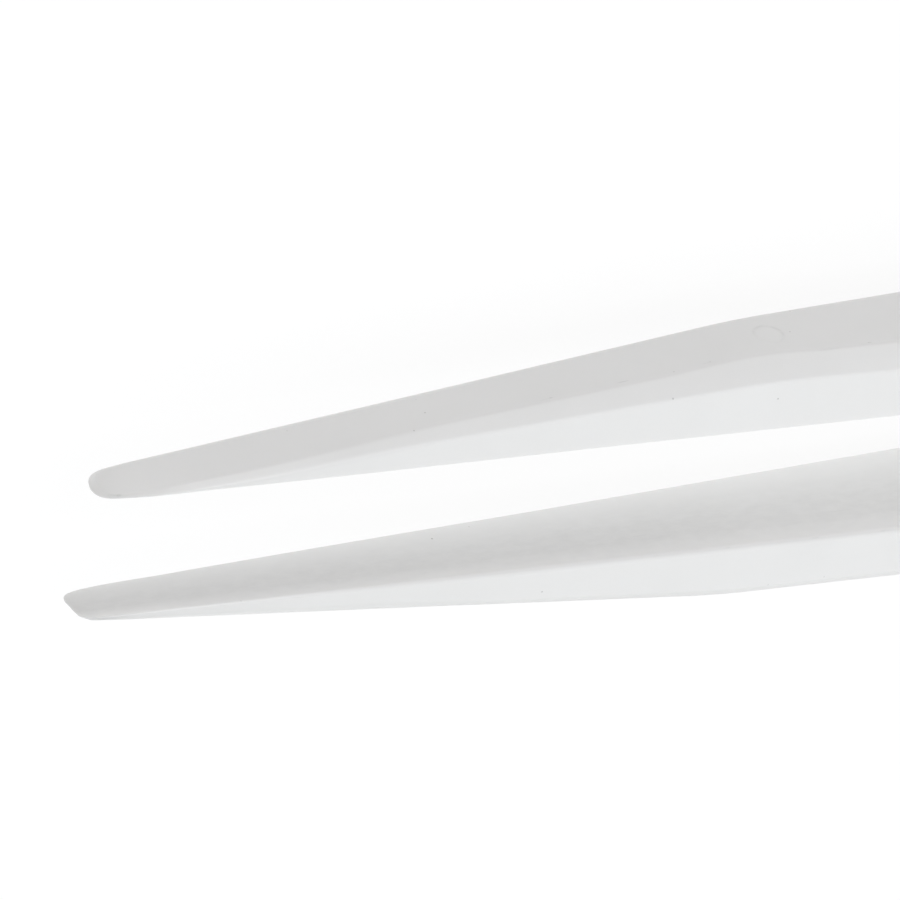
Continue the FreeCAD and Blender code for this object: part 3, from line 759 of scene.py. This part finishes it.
# --------------------------------------------------------------------- screws
def make_screw(name, x, over, turn):
    """Slotted countersunk screw with its thread cut as a real helix."""
    top = GAP + 0.06
    head_r, edge, shank_r, length = 1.50, 0.10, 0.79, 2.50
    pitch, depth = 0.35, 0.17
    cone_end = top + edge + head_r - shank_r
    around = 72
    rows = [(head_r - 0.9, top), (head_r - 0.035, top), (head_r - 0.010, top + 0.010), (head_r, top + 0.035),
            (head_r, top + edge)]
    rows += [(head_r - d, top + edge + d) for d in (0.2, 0.4, 0.6)]
    rows += [(shank_r, cone_end), (shank_r - 0.02, cone_end + 0.04)]
    y = cone_end + 0.10
    stop = top + length
    thread = []
    while y < stop - 0.16:
        thread.append(y)
        y += pitch / 14
    pts, faces = [(x, top, 0.0)], []
    rings = []
    for r, yy in rows:
        rings.append([(r, yy)] * around)
    for yy in thread:
        ring = []
        for k in range(around):
            phase = (yy / pitch - k / around) % 1.0
            tooth = abs(2 * phase - 1)  # 0 at the root, 1 at the crest
            tooth = min(1.0, max(0.0, (tooth - 0.1) / 0.8))
            fade = min(1.0, (yy - cone_end - 0.05) / 0.2, (stop - 0.10 - yy) / 0.15)
            ring.append((shank_r - depth * (1 - tooth) * max(0.0, fade) - 0.0, yy))
        rings.append(ring)
    rings.append([(shank_r - 0.16, stop - 0.08)] * around)
    rings.append([(shank_r - 0.24, stop)] * around)
    for ring in rings:
        for k, (r, yy) in enumerate(ring):
            a = 2 * math.pi * k / around
            pts.append((x + r * math.cos(a), yy, r * math.sin(a)))
    pts.append((x, stop, 0.0))
    last = len(pts) - 1
    for k in range(around):
        kk = (k + 1) % around
        faces.append((0, 1 + k, 1 + kk))
        for i in range(len(rings) - 1):
            a, b = 1 + i * around, 1 + (i + 1) * around
            faces.append((a + k, b + k, b + kk, a + kk))
        a = 1 + (len(rings) - 1) * around
        faces.append((last, a + kk, a + k))
    obj = new_object(name, to_frame(np.array(pts), over), faces, TURNED)
    ca, sa = math.cos(turn), math.sin(turn)
    half, deep = 0.20, 0.36
    outline = [(-half - 0.02, -0.5), (-half - 0.02, 0.0), (-half, 0.02), (-half, deep - 0.03), (-half + 0.03, deep),
               (half - 0.03, deep), (half, deep - 0.03), (half, 0.02), (half + 0.02, 0.0), (half + 0.02, -0.5)]
    n = len(outline)
    box = []
    for along in (-2.2, 2.2):
        for u, v in outline:
            box.append((x + u * ca - along * sa, top + v, u * sa + along * ca))
    box_faces = [tuple(range(n)), tuple(range(2 * n - 1, n - 1, -1))]
    box_faces += [(i, (i + 1) % n, n + (i + 1) % n, n + i) for i in range(n)]
    carve(obj, [cutter("slot_cut", np.array(box), box_faces, over)])
    tidy(obj, 38.0)
    return obj


# -------------------------------------------------------------------- assembly
made = {}
for word, over, side_body in (("upper", False, "upper_side"), ("lower", True, "lower_side")):
    tip = make_tip(word + "_tip_fired", over)
    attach(tip, side_body)
    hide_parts(word + "_ceramic_tip")
    for (place, x, turn) in (("front", SCREWS[0], 0.55 if over else -0.35), ("rear", SCREWS[1], -0.9 if over else 1.2)):
        screw = make_screw("%s_%s_screw_cut" % (word, place), x, over, turn)
        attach(screw, side_body)
        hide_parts("%s_%s_screw" % (word, place))
    arm = make_arm(word + "_arm_satin", over)
    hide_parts(word + "_arm")
    if over:
        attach(arm, side_body)
    else:
        # the arm bends between the weld and the grip; its tail stays on the other arm
        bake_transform(arm)

# ----------------------------------------------------------------------- stage
# an opal light table: it glows a little, so that shadows on it stay faint
floor_mat, floor_tree, floor_shader, floor_coords = material("pale_floor")
haze = noise(floor_tree, floor_coords.outputs["Object"], 18.0, 3.0, 0.5)
floor_tree.links.new(mix(floor_tree, haze.outputs[0], (0.20, 0.20, 0.20), (0.22, 0.22, 0.22)),
                     floor_shader.inputs["Base Color"])
floor_shader.inputs["Roughness"].default_value = 0.9
floor_shader.inputs["Specular IOR Level"].default_value = 0.0
floor_shader.inputs["Emission Color"].default_value = (1.0, 1.0, 1.0, 1.0)
floor_shader.inputs["Emission Strength"].default_value = 0.802
floor_mesh = bpy.data.meshes.new("floor")
floor_mesh.from_pydata([(-3, -3, 0), (3, -3, 0), (3, 3, 0), (-3, 3, 0)], [], [(0, 1, 2, 3)])
floor_mesh.materials.append(floor_mat)
floor = bpy.data.objects.new("floor", floor_mesh)
floor.location.z = -0.00002
bpy.context.scene.collection.objects.link(floor)

# a tent of soft light: its brightness and faint tint run from the +Y horizon over the
# zenith to the -Y horizon
world = bpy.data.worlds.new("studio")
world.use_nodes = True
tree = world.node_tree
sky = tree.nodes["Background"]
parts = tree.nodes.new("ShaderNodeSeparateXYZ")
tree.links.new(tree.nodes.new("ShaderNodeTexCoord").outputs["Generated"], parts.inputs[0])
turn = maths(tree, "DIVIDE", maths(tree, "ARCTAN2", parts.outputs[2], parts.outputs[1]), math.pi)
ramp = tree.nodes.new("ShaderNodeValToRGB")
tree.links.new(turn, ramp.inputs[0])
tent = ((0.165, 0.138, 0.135), (0.513, 0.500, 0.497), (1.123, 1.128, 1.137), (1.368, 1.394, 1.419),
        (1.164, 1.184, 1.197), (0.641, 0.637, 0.626), (0.120, 0.100, 0.095))
while len(ramp.color_ramp.elements) < len(tent):
    ramp.color_ramp.elements.new(0.5)
for i, tint in enumerate(tent):
    ramp.color_ramp.elements[i].position = i / (len(tent) - 1)
    ramp.color_ramp.elements[i].color = (*tint, 1.0)
tree.links.new(ramp.outputs[0], sky.inputs[0])
# and it is dimmer towards the tips' end
tree.links.new(maths(tree, "ADD", maths(tree, "MULTIPLY", parts.outputs[0], 0.35), 1.0), sky.inputs[1])
bpy.context.scene.world = world

# ---------------------------------------------------------------------- camera
cam_data = bpy.data.cameras.new("camera")
cam_data.type = "PERSP"
cam_data.sensor_fit = "HORIZONTAL"
cam_data.sensor_width = 36.0
cam_data.lens = 720.38
cam_data.clip_start, cam_data.clip_end = 0.05, 20.0
cam = bpy.data.objects.new("camera", cam_data)
right = Vector((0.85109577, 0.1815448, 0.49262306))
up = Vector((0.11718673, 0.84894722, -0.51532116))
back = Vector((-0.51176485, 0.49631654, 0.70126074))
rot = Matrix((right, up, back)).transposed().to_4x4()
cam.matrix_world = Matrix.Translation((-0.40943029, 0.35324577, 0.50016778)) @ rot
bpy.context.scene.collection.objects.link(cam)
bpy.context.scene.camera = cam
bpy.context.scene.view_settings.view_transform = "Standard"
